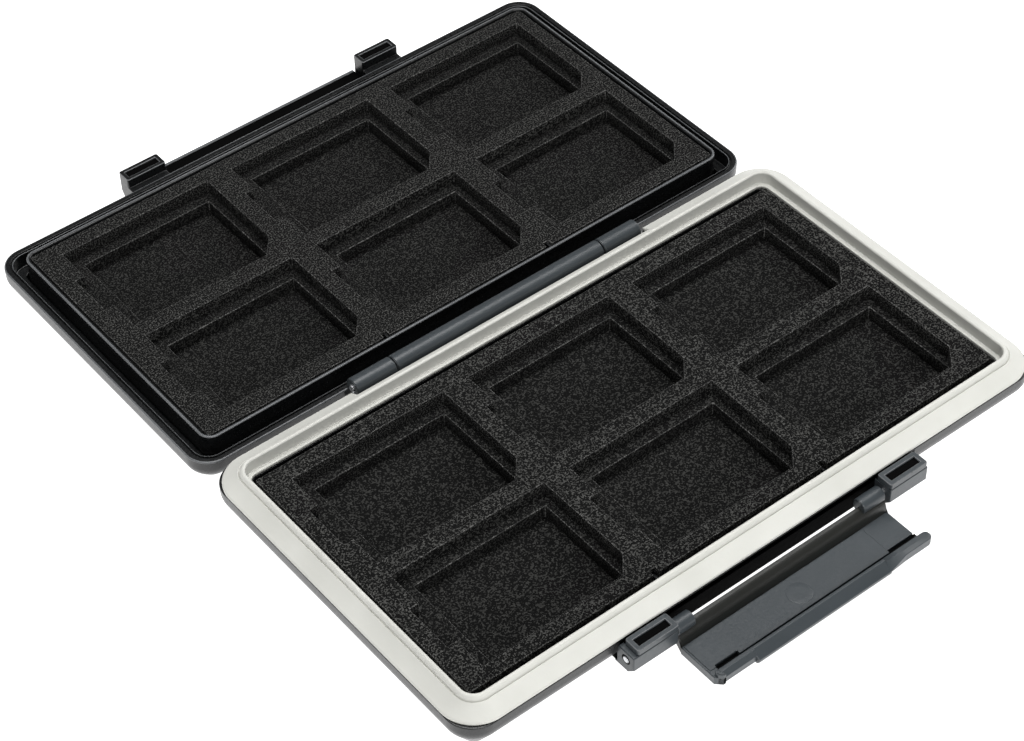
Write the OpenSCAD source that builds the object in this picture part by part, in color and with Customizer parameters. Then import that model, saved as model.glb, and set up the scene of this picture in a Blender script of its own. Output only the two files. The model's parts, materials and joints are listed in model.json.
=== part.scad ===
// Memory card case, lying open: a shallow base tray and a lid on one long hinge,
// an off-white seal frame on the base, foam blocks with card pockets in both halves,
// and a snap latch that hangs on two stub pins at the front.
// Millimetres. The origin is the centre of the base's underside, +X runs along the
// hinge, +Y points to the lid and +Z is up.

/* [Base] */
// Length of the base along the hinge
base_l = 131; // [126:1:150]
// Width of the base from the latch to the hinge
base_w = 73.6; // [70:0.2:90]
// Height of the seal's outer edge above the table
base_h = 9.3; // [9:0.1:12]
// Corner radius of the base shell
shell_r = 5.5; // [5.4:0.1:6.5]
// Height of the upright band of the shell's side
side_h = 2.7; // [2:0.1:3.2]
// How far the shell draws in from its side to its underside
tuck = 4; // [3.5:0.1:4.1]
// Wall thickness of the mouldings
wall = 1.2; // [0.9:0.1:1.4]
// Thickness of the base's floor
floor_t = 1.5; // [1:0.1:1.7]
// Distance from the edge to the inner wall round the foam
inner_in = 4.35; // [4.2:0.05:4.45]
// Thickness of the inner wall round the foam
inner_t = 0.9; // [0.6:0.1:0.95]

/* [Seal frame] */
// Corner radius of the seal frame
seal_r = 6.9; // [6.5:0.1:8]
// Thickness of the seal at its outer edge
seal_edge = 0.5; // [0.4:0.1:0.8]
// Rise of the seal's slope from its edge to the bead
seal_rise = 2; // [1.8:0.05:2.05]
// Height of the bead above the seal's edge
bead_top = 2.6; // [2.4:0.1:2.7]
// Distance from the edge to the bead
bead_in = 3.45; // [3.4:0.05:3.5]
// Width of the bead
bead_w = 0.85; // [0.7:0.05:0.9]
// Width of the ledge inside the bead
ledge_w = 0.85; // [0.6:0.05:0.9]
// How far the seal's tongue reaches down into the shell
tongue = 2.2; // [1:0.1:2.8]

/* [Lid] */
// How far the lid stays in from the base's ends when it is shut
lid_in_x = 1; // [0.9:0.1:1.2]
// How far the lid stays in from the base's long sides when it is shut
lid_in_y = 1.53; // [1.45:0.01:1.6]
// Height of the lid's rim above the table while it lies open
lid_h = 6.6; // [6.4:0.1:8]
// Corner radius of the lid
lid_r = 5; // [4.8:0.1:6]
// Thickness of the lid's floor
lid_floor_t = 1.2; // [0.9:0.1:1.3]
// Width of the flat rim
rim_w = 1.7; // [1.6:0.05:1.75]
// Width of the channel that takes the bead
channel_w = 2.2; // [2.1:0.05:2.3]
// Depth of the channel
channel_d = 3; // [1.5:0.1:3.2]
// How far the lid's inner wall stands above the rim
inner_up = 1.8; // [1:0.1:1.8]
// Height of the shut lid's rim above the seal's outer edge
rim_rise = 2.2; // [2.2:0.05:2.6]

/* [Foam] */
// Thickness of the foam layer with the large card pockets
foam_top_t = 3; // [2.5:0.1:3]
// Thickness of the foam layer with the small card pockets
foam_mid_t = 3; // [2.5:0.1:3]
// Thickness of the solid foam under the base's pockets
foam_low_t = 2; // [1.5:0.1:2]
// Thickness of the solid foam under the lid's pockets
lid_foam_low_t = 1; // [0.6:0.1:1]
// Distance from the base's ends to the foam
foam_in_x = 5.75; // [5.6:0.05:6.5]
// Distance from the base's long sides to the foam
foam_in_y = 6.7; // [5.6:0.1:7]
// Distance from the lid's edge to its foam
lid_foam_in = 5.1; // [5:0.05:5.4]
// Corner radius of the foam blocks
foam_r = 1; // [0.5:0.1:2]

/* [Card pockets] */
// Length of a large pocket
pocket_l = 33; // [30:0.5:34]
// Width of a large pocket
pocket_w = 24.9; // [22:0.1:25.5]
// Length of a small pocket
recess_l = 28.5; // [26:0.5:29]
// Width of a small pocket
recess_w = 20.5; // [19:0.5:21.5]
// Columns of pockets
columns = 3; // [1:1:3]
// Rows of pockets
rows = 2; // [1:1:2]
// Distance between two columns
pitch_x = 38.7; // [37:0.1:39]
// Distance between two rows
pitch_y = 28.6; // [27.5:0.1:29]
// How far the finger notch reaches out of a pocket
notch_out = 2; // [1:0.1:2.3]
// Length of the finger notch
notch_l = 10.2; // [6:0.2:12]
// Distance from the pocket's front edge to the finger notch
notch_from = 6.9; // [4:0.1:9]
// Slanted card corner, along the pocket
corner_x = 3.3; // [1:0.1:4]
// Slanted card corner, across the pocket
corner_y = 4; // [1:0.1:5]
// How far the small pocket lies towards the slanted corner
recess_shift = 0.75; // [0:0.05:1]

/* [Hinge] */
// Distance from the base's back edge to the hinge axis
hinge_out = 0.94; // [0.9:0.02:1.2]
// Radius of the hinge barrel
barrel_r = 1.9; // [1.6:0.05:1.95]
// Radius of the hinge pin
pin_r = 0.8; // [0.6:0.05:1]
// Radial play of the pins in their bores
pin_play = 0.05; // [0.02:0.01:0.08]
// Length of the whole hinge
hinge_l = 66.6; // [60:0.2:80]
// Length of the middle knuckle
middle_l = 48.4; // [40:0.2:48.8]
// Gap between two knuckles
knuckle_gap = 0.3; // [0.2:0.05:0.5]
// Depth of the notch in the seal and the shell for the hinge
hinge_notch = 2; // [1.8:0.1:2.1]

/* [Latch] */
// Distance from the base's front edge to the latch's pivot
pivot_out = 1.9; // [1.85:0.05:2.2]
// Distance from the seal's edge down to the latch's pivot
pivot_down = 3.4; // [3.2:0.05:3.6]
// Radius of the latch's knuckles
latch_r = 1.5; // [1.3:0.05:1.5]
// Radius of the stub pins
stub_r = 0.7; // [0.5:0.05:0.8]
// Length of the latch along the base
latch_l = 47.4; // [36:0.2:47.6]
// Depth of the latch's panel below its pivot
panel_down = 3.1; // [2.9:0.05:3.3]
// Thickness of the latch's panel
panel_t = 1.7; // [1.4:0.1:2.2]
// Distance from the pivot to the panel's slot
panel_reach = 8.5; // [8.4:0.1:9]
// Width of the slot between the panel and the hook
slot_w = 1.35; // [1.2:0.05:1.5]
// Width of the hook strip
hook_w = 2.25; // [2:0.05:3]
// Height of the hook above the panel
hook_up = 1; // [0.8:0.05:1.05]

/* [Lugs] */
// Distance from the middle of the latch to the inner face of a base lug
lug_from = 24.2; // [24.1:0.05:26]
// Length of a lug
lug_l = 8.85; // [7:0.05:10]
// Distance that a base lug stands out
lug_out = 3.9; // [3.6:0.1:4.2]
// Depth of a base lug
lug_d = 5.9; // [5.2:0.1:6]
// Length of a lug's slot
slot_l = 7; // [5:0.1:7.2]
// Width of a lug's slot
slot_across = 1.5; // [1:0.1:1.8]
// Thickness of the ear outside a base lug
ear_t = 0.95; // [0.6:0.05:1.5]

/* [Hidden] */
$fn = 64;
eps = 0.01;

// Small clearances
shell_gap = 0.1;
tongue_w = 1.1;
ledge_drop = 0.1;
ledge_t = 0.7;
inner_drop = 0.4;
lug_top = 0.3;
lug_gap = 0.4;
shell_top = base_h - seal_edge - shell_gap;
inner_top = base_h - seal_edge - inner_drop;

// Hinge and lid, placed so that the shut lid sits centred over the seal
hinge_y = base_w / 2 + hinge_out;
hinge_z = (base_h + rim_rise + lid_h) / 2;
lid_l = base_l - 2 * lid_in_x;
lid_w = base_w - 2 * lid_in_y;
lid_front = 2 * hinge_y - base_w / 2 + lid_in_y;
lid_cy = lid_front + lid_w / 2;
lid_back = lid_front + lid_w;
lid_side_h = 3;
lid_tuck = 3.2;
lid_inner_in = rim_w + channel_w;
lid_inner_t = 0.8;
groove_w = 0.3;
groove_in = 1.15;
groove_d = 0.4;

// Foam heights
base_foam_z = floor_t;
base_foam_mid_z = base_foam_z + foam_low_t;
base_foam_top_z = base_foam_mid_z + foam_mid_t;
lid_foam_z = lid_floor_t;
lid_foam_mid_z = lid_foam_z + lid_foam_low_t;
lid_foam_top_z = lid_foam_mid_z + foam_mid_t;
foam_l = base_l - 2 * foam_in_x;
foam_w = base_w - 2 * foam_in_y;
lid_foam_l = lid_l - 2 * lid_foam_in;
lid_foam_w = lid_w - 2 * lid_foam_in;
base_layout = [0.6, -0.4];
lid_layout = [1.1, 0.2];

// Ribs of the inner walls that stand in small notches of the foam
rib_x = [-20, 18.4];
rib_t = 0.5;
rib_reach = 0.8;
rib_play = 0.4;

// Latch and its pivot
pivot_y = -base_w / 2 - pivot_out;
pivot_z = base_h - pivot_down;
panel_z = pivot_z - panel_down;
panel_y = pivot_y - panel_reach;
hook_y = panel_y - slot_w;
root_rise = 3;
root_reach = 2.1;
left_knuckle = 3.8;
right_knuckle = 5.1;
hook_l = 30.7;
hook_cut = 0.65;
tab_w = 2;
pad_down = 5.1;
pad_t = 2.2;
catch_down = 3.2;
catch_out = 5.9;
catch_lip = 0.3;
lid_lug_out = [1.85, 5.25];
lid_lug_up = 1.43;
lid_lug_d = 4.4;
slot_depth = 2;

// Small shapes: softened corners, feet, webs and fillets
seal_slope = [[0.9, 0.22], [1.8, 0.47], [2.7, 0.76]];
bead_soft = 0.25;
crease = 0.1;
crease_rise = 0.05;
shell_foot = [1, 0.3];
floor_r = 0.8;
lid_floor_r = 1;
inner_top_gap = 0.1;
lug_foot = [0.7, 1];
lug_under = 1.5;
ear_step = 0.9;
ear_top = 1.1;
ear_in = 0.1;
lid_lug_foot = [1, 0.4];
lid_lug_rise = [0.6, 2.5];
lid_lug_neck = 0.6;
web_in = 0.1;
web_top_down = 0.45;
lid_web_in = 0.3;
pin_over = 0.3;
pin_end = 0.1;
stub_gap = 0.3;
wall_margin = 2;
wall_below = 1.5;
cut_margin = 1;
catch_root = 0.7;
catch_under = 0.9;
catch_tip = 0.45;
root_in = 0.7;
root_t = 0.9;
root_down = 1.6;
root_back = 1.5;
arm_up = 1.1;
arm_back = 0.9;
hook_top = 0.6;
hook_nose = [0.8, 0.5];
hook_foot = 0.5;
bridge_down = 0.7;
bridge_out = 0.9;
end_in = 1.1;
lip_l = [17, 17.3];
lip_out = 0.7;
corner_l = 0.7;
bridge_end = 0.5;
tab_over = 1.5;
tab_flare = 3.6;
tab_up = 0.9;
tab_end = 0.6;

// Rounded rectangle seen from above
module plate(l, w, r, h) {
    linear_extrude(h) {
        square([l - 2 * r, w], center = true);
        square([l, w - 2 * r], center = true);
        for (x = [-1, 1], y = [-1, 1])
            translate([x * (l / 2 - r), y * (w / 2 - r)]) circle(r);
    }
}

// Ring round a rectangle with rounded corners. Each profile point gives its distance
// in from the outline and its height.
module ring(l, w, r, profile) {
    for (k = [0 : 3]) {
        across = k % 2 == 0;
        side = across ? l : w;
        depth = across ? w : l;
        rotate([0, 0, 90 * k]) {
            translate([side / 2 - r, 0, 0]) rotate([90, 0, -90]) linear_extrude(side - 2 * r)
                    polygon([for (p = profile) [depth / 2 - p[0], p[1]]]);
            translate([side / 2 - r, depth / 2 - r, 0])
                rotate_extrude(angle = 90) polygon([for (p = profile) [r - p[0], p[1]]]);
        }
    }
}

// Side view in Y and Z, carried along X from x0 to x1
module along(x0, x1, outline) {
    translate([x0, 0, 0]) rotate([90, 0, 90]) linear_extrude(x1 - x0) polygon(outline);
}

// Round bar or bore along X
module bar(x0, x1, y, z, r) {
    translate([x0, y, z]) rotate([0, 90, 0]) cylinder(h = x1 - x0, r = r);
}

// Block between two corners
module block(a, b) {
    translate(a) cube(b - a);
}

// Places its children in every pocket of a layout
module at_pockets(offset) {
    for (i = [0 : columns - 1], j = [0 : rows - 1])
        translate([offset[0] + (i - (columns - 1) / 2) * pitch_x,
                   offset[1] + (j - (rows - 1) / 2) * pitch_y, 0]) children();
}

// Outline of a large pocket: a card with one slanted corner and a finger notch
module pocket_shape() {
    polygon([[-pocket_l / 2, -pocket_w / 2], [pocket_l / 2 - corner_x, -pocket_w / 2],
             [pocket_l / 2, -pocket_w / 2 + corner_y], [pocket_l / 2, pocket_w / 2],
             [-pocket_l / 2, pocket_w / 2]]);
    translate([-pocket_l / 2 - notch_out, -pocket_w / 2 + notch_from])
        square([notch_out + eps, notch_l]);
}

// Outline of a small pocket
module recess_shape() {
    translate([recess_shift, 0]) square([recess_l, recess_w], center = true);
}

// Notches in a foam block where the ribs stand; side is -1 at the front and 1 at the back
module rib_notches(l, w, side, h) {
    for (x = rib_x)
        block([x - rib_t / 2 - rib_play, side * w / 2 - rib_reach - rib_play, -eps],
              [x + rib_t / 2 + rib_play, side * w / 2 + rib_reach + rib_play, h + eps]);
}

// One foam layer of the base or the lid
module foam_layer(l, w, h, side, offset, kind) {
    difference() {
        plate(l, w, foam_r, h);
        rib_notches(l, w, side, h);
        if (kind != "floor")
            translate([0, 0, -eps]) linear_extrude(h + 2 * eps) at_pockets(offset)
                if (kind == "pocket") pocket_shape(); else recess_shape();
    }
}

module base_foam_floor() {
    color([0.16, 0.16, 0.16]) translate([0, 0, base_foam_z])
        foam_layer(foam_l, foam_w, foam_low_t, -1, base_layout, "floor");
}

module base_foam_middle() {
    color([0.18, 0.18, 0.18]) translate([0, 0, base_foam_mid_z])
        foam_layer(foam_l, foam_w, foam_mid_t, -1, base_layout, "recess");
}

module base_foam_top() {
    color([0.2, 0.2, 0.2]) translate([0, 0, base_foam_top_z])
        foam_layer(foam_l, foam_w, foam_top_t, -1, base_layout, "pocket");
}

module lid_foam_floor() {
    color([0.16, 0.16, 0.16]) translate([0, lid_cy, lid_foam_z])
        foam_layer(lid_foam_l, lid_foam_w, lid_foam_low_t, -1, lid_layout, "floor");
}

module lid_foam_middle() {
    color([0.18, 0.18, 0.18]) translate([0, lid_cy, lid_foam_mid_z])
        foam_layer(lid_foam_l, lid_foam_w, foam_mid_t, -1, lid_layout, "recess");
}

module lid_foam_top() {
    color([0.2, 0.2, 0.2]) translate([0, lid_cy, lid_foam_top_z])
        foam_layer(lid_foam_l, lid_foam_w, foam_top_t, -1, lid_layout, "pocket");
}

// Section of the base's wall: upright band and tucked-in belly
function shell_section() =
    let (low = base_h - seal_edge - side_h)
    [[0, shell_top], [0, low], [tuck, 0], [inner_in + inner_t, 0], [inner_in + inner_t, floor_t],
     [inner_in, floor_t], [tuck + wall - shell_foot[0], floor_t + shell_foot[1]], [wall, low],
     [wall, shell_top]];

// Section of the inner wall round the foam, which closes the gutter for the seal
function inner_section() =
    [[inner_in, floor_t / 2], [inner_in, inner_top], [inner_in + inner_t, inner_top],
     [inner_in + inner_t, floor_t / 2]];

// A lug beside the latch: a slotted box whose pin hole lies under the slot
module base_lug(side) {
    y0 = -base_w / 2;
    z1 = base_h - lug_top;
    x0 = lug_from;
    x1 = lug_from + lug_l;
    outline = [[y0 - lug_gap, z1], [y0 - lug_out, z1], [y0 - lug_out, z1 - lug_d / 2],
               [y0 - lug_out + lug_foot[0], z1 - lug_d + lug_foot[1]],
               [y0 - lug_out + lug_under, z1 - lug_d], [y0 + pad_t, z1 - lug_d], [y0 + pad_t, shell_top],
               [y0 - lug_gap, shell_top]];
    ear = [[y0 + pad_t, z1 - ear_top], [y0 - lug_out + ear_step, z1 - ear_top],
           [y0 - lug_out + ear_in, z1 - lug_d / 2],
           [y0 - lug_out + lug_foot[0] + ear_in, z1 - lug_d + lug_foot[1]],
           [y0 - lug_out + lug_under, z1 - lug_d], [y0 + pad_t, z1 - lug_d]];
    difference() {
        union() {
            along(side > 0 ? x0 : -x1, side > 0 ? x1 : -x0, outline);
            along(side > 0 ? x1 - eps : -x1 - ear_t, side > 0 ? x1 + ear_t : -x1 + eps, ear);
        }
        translate([side * (x0 + x1) / 2 - slot_l / 2, y0 - (lug_out + lug_gap + slot_across) / 2,
                   z1 - slot_depth])
            cube([slot_l, slot_across, slot_depth + eps]);
        bar(-base_l / 2, base_l / 2, pivot_y, pivot_z, stub_r + pin_play);
    }
}

// Middle knuckle of the hinge with its web to the base's back wall
module base_knuckle() {
    back = base_w / 2 - hinge_notch;
    difference() {
        union() {
            bar(-middle_l / 2, middle_l / 2, hinge_y, hinge_z, barrel_r);
            along(-middle_l / 2, middle_l / 2,
                  [[back - wall / 2, hinge_z - barrel_r], [hinge_y, hinge_z - barrel_r],
                   [hinge_y - barrel_r / 2, hinge_z],
                   [hinge_y - barrel_r + web_in, hinge_z - web_top_down],
                   [back - wall / 2, hinge_z - web_top_down]]);
        }
        bar(-base_l / 2, base_l / 2, hinge_y, hinge_z, pin_r + pin_play);
    }
}

module base_shell() {
    color([0.24, 0.26, 0.27]) {
        difference() {
            union() {
                ring(base_l, base_w, shell_r, shell_section());
                ring(base_l, base_w, seal_r, inner_section());
                plate(base_l - 2 * inner_in - inner_t, base_w - 2 * inner_in - inner_t, floor_r, floor_t);
                pad();
                back_wall();
            }
            hinge_cut();
        }
        for (x = rib_x)
            block([x - rib_t / 2, -base_w / 2 + inner_in + inner_t / 2, floor_t - eps],
                  [x + rib_t / 2, -base_w / 2 + foam_in_y + rib_reach, inner_top]);
        base_lug(-1);
        base_lug(1);
        base_knuckle();
    }
}

// Thicker upright wall behind the latch
module pad() {
    edge = lug_from + lug_l + ear_t;
    block([-edge, -base_w / 2, base_h - seal_edge - pad_down],
          [edge, -base_w / 2 + pad_t, shell_top]);
}

// Wall that closes the gutter behind the hinge notch
module back_wall() {
    back = base_w / 2 - hinge_notch;
    block([-hinge_l / 2 - wall_margin, back - wall, base_h - seal_edge - side_h - wall_below],
          [hinge_l / 2 + wall_margin, back, shell_top]);
}

// Room for the hinge in the base's back edge
module hinge_cut() {
    block([-hinge_l / 2 - cut_margin, base_w / 2 - hinge_notch, 0],
          [hinge_l / 2 + cut_margin, base_w / 2 + cut_margin, base_h + bead_top]);
}

// Section of the seal: edge, slope, groove, bead, inner face, ledge and tongue
function seal_section() =
    let (bead_out = bead_in + bead_w, ledge = bead_out + ledge_w)
    concat([[0, 0], [0, seal_edge]],
           [for (p = seal_slope) [p[0], seal_edge + p[1] * seal_rise]],
           [[bead_in - crease, seal_edge + seal_rise], [bead_in, seal_edge + seal_rise - crease],
            [bead_in + crease_rise, seal_edge + bead_top - bead_soft],
            [bead_in + bead_soft, seal_edge + bead_top], [bead_out - bead_soft, seal_edge + bead_top],
            [bead_out, seal_edge + bead_top - bead_soft], [bead_out, seal_edge - ledge_drop],
            [ledge, seal_edge - ledge_drop], [ledge, seal_edge - ledge_drop - ledge_t],
            [inner_in - shell_gap, seal_edge - ledge_drop - ledge_t], [inner_in - shell_gap, -tongue],
            [inner_in - tongue_w, -tongue], [inner_in - tongue_w, 0]]);

module base_seal() {
    color([0.91, 0.91, 0.88]) difference() {
        translate([0, 0, base_h - seal_edge]) ring(base_l, base_w, seal_r, seal_section());
        hinge_cut();
    }
}

// Section of the lid's wall: side, rim with its groove, channel and inner wall
function lid_section() =
    let (inner = lid_inner_in + lid_inner_t)
    [[0, lid_h], [0, lid_h - lid_side_h], [lid_tuck, 0], [inner, 0], [inner, lid_h + inner_up],
     [lid_inner_in, lid_h + inner_up], [lid_inner_in, lid_h - channel_d], [rim_w, lid_h - channel_d],
     [rim_w, lid_h], [groove_in + groove_w, lid_h], [groove_in + groove_w, lid_h - groove_d],
     [groove_in, lid_h - groove_d], [groove_in, lid_h]];

// A slotted lug on the lid's far side
module lid_lug(side) {
    x0 = lug_from - pin_end;
    x1 = x0 + lug_l;
    y0 = lid_back + lid_lug_out[0];
    y1 = lid_back + lid_lug_out[1];
    z1 = lid_h + lid_lug_up;
    low = lid_h - lid_lug_d;
    outline = [[lid_back - wall, low], [y1 - lid_lug_foot[0], low],
               [y1 - lid_lug_foot[1], low + lid_lug_rise[0]],
               [y1, low + lid_lug_rise[1]], [y1, z1], [y0, z1], [y0, lid_h - lid_lug_neck],
               [lid_back - wall, lid_h - lid_lug_neck]];
    difference() {
        along(side > 0 ? x0 : -x1, side > 0 ? x1 : -x0, outline);
        translate([side * (x0 + x1) / 2 - slot_l / 2, (y0 + y1) / 2 - slot_across / 2, z1 - slot_depth])
            cube([slot_l, slot_across, slot_depth + eps]);
    }
}

// Knuckle at each end of the hinge with its web to the lid's wall
module lid_knuckle(side) {
    x0 = middle_l / 2 + knuckle_gap;
    x1 = hinge_l / 2;
    web_top = hinge_z - barrel_r / 2;
    difference() {
        union() {
            bar(side > 0 ? x0 : -x1, side > 0 ? x1 : -x0, hinge_y, hinge_z, barrel_r);
            along(side > 0 ? x0 : -x1, side > 0 ? x1 : -x0,
                  [[hinge_y + lid_web_in, hinge_z - barrel_r + web_in],
                   [lid_front + wall / 2, lid_h - lid_side_h],
                   [lid_front + wall / 2, lid_h - lid_web_in], [lid_front, lid_h - lid_web_in],
                   [hinge_y + barrel_r - web_in, web_top]]);
        }
        bar(-base_l / 2, base_l / 2, hinge_y, hinge_z, pin_r + pin_play);
    }
}

// Plate on the lid's far side that the latch's hook snaps over
module lid_catch() {
    low = lid_h - catch_down;
    along(-lug_from, lug_from,
          [[lid_back - wall, low + catch_root], [lid_back + catch_out, low + catch_lip],
           [lid_back + catch_out, low - catch_tip], [lid_back - wall, low - catch_under]]);
}

module lid_shell() {
    color([0.24, 0.26, 0.27]) {
        translate([0, lid_cy, 0]) {
            ring(lid_l, lid_w, lid_r, lid_section());
            plate(lid_l - 2 * lid_inner_in, lid_w - 2 * lid_inner_in, lid_floor_r, lid_floor_t);
            for (x = rib_x)
                block([x - rib_t / 2, -lid_w / 2 + lid_inner_in + lid_inner_t / 2, lid_floor_t - eps],
                      [x + rib_t / 2, -lid_foam_w / 2 + rib_reach, lid_h + inner_up - inner_top_gap]);
        }
        lid_lug(-1);
        lid_lug(1);
        lid_knuckle(-1);
        lid_knuckle(1);
        lid_catch();
    }
}

module hinge_pin() {
    color([0.75, 0.76, 0.78]) bar(-hinge_l / 2 - pin_over, hinge_l / 2, hinge_y, hinge_z, pin_r);
}

// Latch lying open: knuckles, swelling root, panel, hook strip and finger tab
module latch() {
    x0 = -latch_l / 2;
    x1 = latch_l / 2;
    low = panel_z - panel_t;
    root_y = pivot_y - root_in;
    root_z = panel_z + root_rise - crease;
    color([0.26, 0.28, 0.3]) difference() {
        union() {
            for (ends = [[x0, x0 + left_knuckle], [x1 - right_knuckle, x1]]) {
                bar(ends[0], ends[1], pivot_y, pivot_z, latch_r);
                along(ends[0], ends[1],
                      [[pivot_y, pivot_z], [pivot_y - root_reach / 2, panel_z],
                       [root_y, low + eps], [pivot_y + arm_back, pivot_z - arm_up]]);
            }
            along(x0, x1,
                  concat([for (a = [0 : 10 : 90])
                              [pivot_y - root_reach * sin(a), panel_z + root_rise * cos(a)]],
                         [[panel_y, panel_z], [panel_y, low], [root_y - root_back, low],
                          [root_y + root_t, root_z - root_down], [root_y + root_t, root_z]]));
            block([-lip_l[0], panel_y - lip_out, low], [lip_l[1], panel_y + eps, panel_z]);
            block([x0 + end_in, hook_y - bridge_out, low],
                  [x1 + bridge_end, panel_y + eps, panel_z - bridge_down]);
            along(-hook_l / 2, hook_l / 2, hook_outline(hook_w, low));
            along(x0 + end_in, -hook_l / 2 + eps, hook_outline(hook_w - hook_cut, low));
            latch_corner(x0, low);
            tab(hook_l / 2 - eps, x1 + tab_over, low);
        }
        bar(-base_l / 2, base_l / 2, pivot_y, pivot_z, stub_r + pin_play);
    }
}

// Section of the hook strip, rounded towards the fingertip
function hook_outline(w, low) =
    [[hook_y, low], [hook_y, panel_z + hook_up], [hook_y - hook_top, panel_z + hook_up],
     [hook_y - w + hook_nose[0], panel_z + hook_nose[1]], [hook_y - w, panel_z - hook_foot],
     [hook_y - w, low + hook_foot], [hook_y - w + hook_foot, low]];

// Cut-off corner that joins the panel to the left end of the hook strip
module latch_corner(x0, low) {
    far_y = hook_y - hook_w + hook_cut;
    inner_x = x0 + end_in + corner_l;
    translate([0, 0, low]) linear_extrude(panel_t)
        polygon([[x0, panel_y + eps], [inner_x, panel_y + eps], [inner_x, far_y], [x0 + end_in, far_y],
                 [x0, far_y + end_in]]);
}

// Finger tab that runs on from the hook strip past the latch's right end
module tab(x0, x1, low) {
    y1 = hook_y;
    y0 = y1 - tab_w;
    top = panel_z + hook_up;
    hull() {
        along(x0, x0 + eps, [[y1, low + tab_up], [y1, top], [hook_y - hook_top, top],
                             [hook_y - hook_w, panel_z - hook_foot], [hook_y - hook_w, low + tab_up]]);
        block([x0 + tab_flare, y0, low + tab_up], [x0 + tab_flare + eps, y1, top]);
    }
    hull() {
        block([x0 + tab_flare, y0, low + tab_up], [x1 - tab_end, y1, top]);
        for (y = [y0 + tab_end, y1 - tab_end])
            translate([x1 - tab_end, y, low + tab_up]) cylinder(r = tab_end, h = top - low - tab_up);
    }
}

module latch_pin_left() {
    color([0.75, 0.76, 0.78])
        bar(-lug_from - lug_l - ear_t - pin_end, -latch_l / 2 + left_knuckle - stub_gap,
            pivot_y, pivot_z, stub_r);
}

module latch_pin_right() {
    color([0.75, 0.76, 0.78])
        bar(latch_l / 2 - right_knuckle + stub_gap, lug_from + lug_l + ear_t + pin_end,
            pivot_y, pivot_z, stub_r);
}

base_shell();
base_seal();
base_foam_floor();
base_foam_middle();
base_foam_top();
lid_shell();
lid_foam_floor();
lid_foam_middle();
lid_foam_top();
hinge_pin();
latch();
latch_pin_left();
latch_pin_right();
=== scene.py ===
import json
import math

import bpy
import numpy as np
from mathutils import Matrix, Vector


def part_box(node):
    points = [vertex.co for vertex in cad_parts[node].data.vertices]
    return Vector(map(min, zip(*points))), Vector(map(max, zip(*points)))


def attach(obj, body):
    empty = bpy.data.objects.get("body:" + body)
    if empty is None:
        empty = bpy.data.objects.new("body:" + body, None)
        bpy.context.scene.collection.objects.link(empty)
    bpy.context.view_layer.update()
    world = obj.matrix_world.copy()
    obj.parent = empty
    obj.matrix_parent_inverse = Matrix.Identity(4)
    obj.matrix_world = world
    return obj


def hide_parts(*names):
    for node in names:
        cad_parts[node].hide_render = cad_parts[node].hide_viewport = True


# Memory card case, open on a pale table. All lengths below are millimetres in the
# CAD frame: +X along the hinge, +Y to the lid, +Z up, origin under the base's middle.
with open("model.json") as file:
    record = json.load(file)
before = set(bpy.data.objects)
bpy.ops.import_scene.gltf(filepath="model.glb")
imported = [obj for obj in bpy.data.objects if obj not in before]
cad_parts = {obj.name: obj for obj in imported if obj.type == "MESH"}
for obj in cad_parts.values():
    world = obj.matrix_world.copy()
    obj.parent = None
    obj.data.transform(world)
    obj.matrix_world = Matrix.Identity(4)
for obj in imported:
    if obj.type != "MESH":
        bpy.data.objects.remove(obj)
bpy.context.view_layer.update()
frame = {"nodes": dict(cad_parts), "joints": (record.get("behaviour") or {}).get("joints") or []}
mm = 0.001
print("frame loaded:", len(frame["nodes"]), "nodes")


def nodeBox(name):
    low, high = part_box(name)
    return np.array(low) / mm, np.array(high) / mm


sealLow, sealHigh = nodeBox("base_seal")
lidLow, lidHigh = nodeBox("lid_shell")
pivots = {j["name"]: np.array(j["pos_m"]) / mm for j in frame["joints"]}

# Sizes that more than one piece uses. Each piece has its own dictionary beside its code.
base = {
    "length": sealHigh[0] - sealLow[0],
    "width": sealHigh[1] - sealLow[1],
    "edge": 9.3,  # height of the seal's top at its outer side
    "corner": 5.5,
    "sealCorner": 6.9,
    "sealEdge": 0.5,  # thickness of the seal's outer edge
    "notch": 2.0,  # depth of the hinge's notch in the back edge
    "notchHalf": 34.3,
}
base["front"] = -base["width"] / 2
base["back"] = base["width"] / 2
base["shellTop"] = base["edge"] - base["sealEdge"] - 0.1
hinge = {
    "y": pivots["lid_hinge"][1],
    "z": pivots["lid_hinge"][2],
    "radius": 1.9,
    "half": 33.3,
    "middleHalf": 24.2,
    "gap": 0.3,
    "pin": 0.8,
}
lid = {
    "length": lidHigh[0] - lidLow[0],
    "width": base["width"] - 2 * 1.53,
    "rim": 6.6,  # height of the rim as the lid lies open
    "corner": 5.0,
    "innerCorner": 6.5,
    "centre": 2 * hinge["y"],
}
lid["front"] = lid["centre"] - lid["width"] / 2
lid["back"] = lid["centre"] + lid["width"] / 2
latch = {
    "y": pivots["latch_hinge"][1],
    "z": pivots["latch_hinge"][2],
    "half": 23.7,
    "radius": 1.5,
    "pin": 0.7,
    "panelDown": 3.1,  # from the pivot to the panel's top
    "thick": 1.7,
    "reach": 8.5,  # from the pivot to the panel's end
    "slot": 1.35,  # between the panel and the hook
    "hook": 2.25,
    "hookUp": 0.95,
    "notch": (-21.95, -17.0),  # along the hinge, beside the hook's left end
}
latch["panel"] = latch["z"] - latch["panelDown"]
latch["low"] = latch["panel"] - latch["thick"]
latch["top"] = latch["panel"] + latch["hookUp"]
latch["end"] = latch["y"] - latch["reach"]
latch["hookBack"] = latch["end"] - latch["slot"]
latch["hookFace"] = latch["hookBack"] - latch["hook"]
lugs = {"from": 24.2, "length": 8.85}  # along the hinge, from the middle, on both halves
ribs = {"places": (-20, 18.4), "half": 0.25, "soft": 0.12}  # they stand in the foam's edge notches


# Shader helpers

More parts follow.
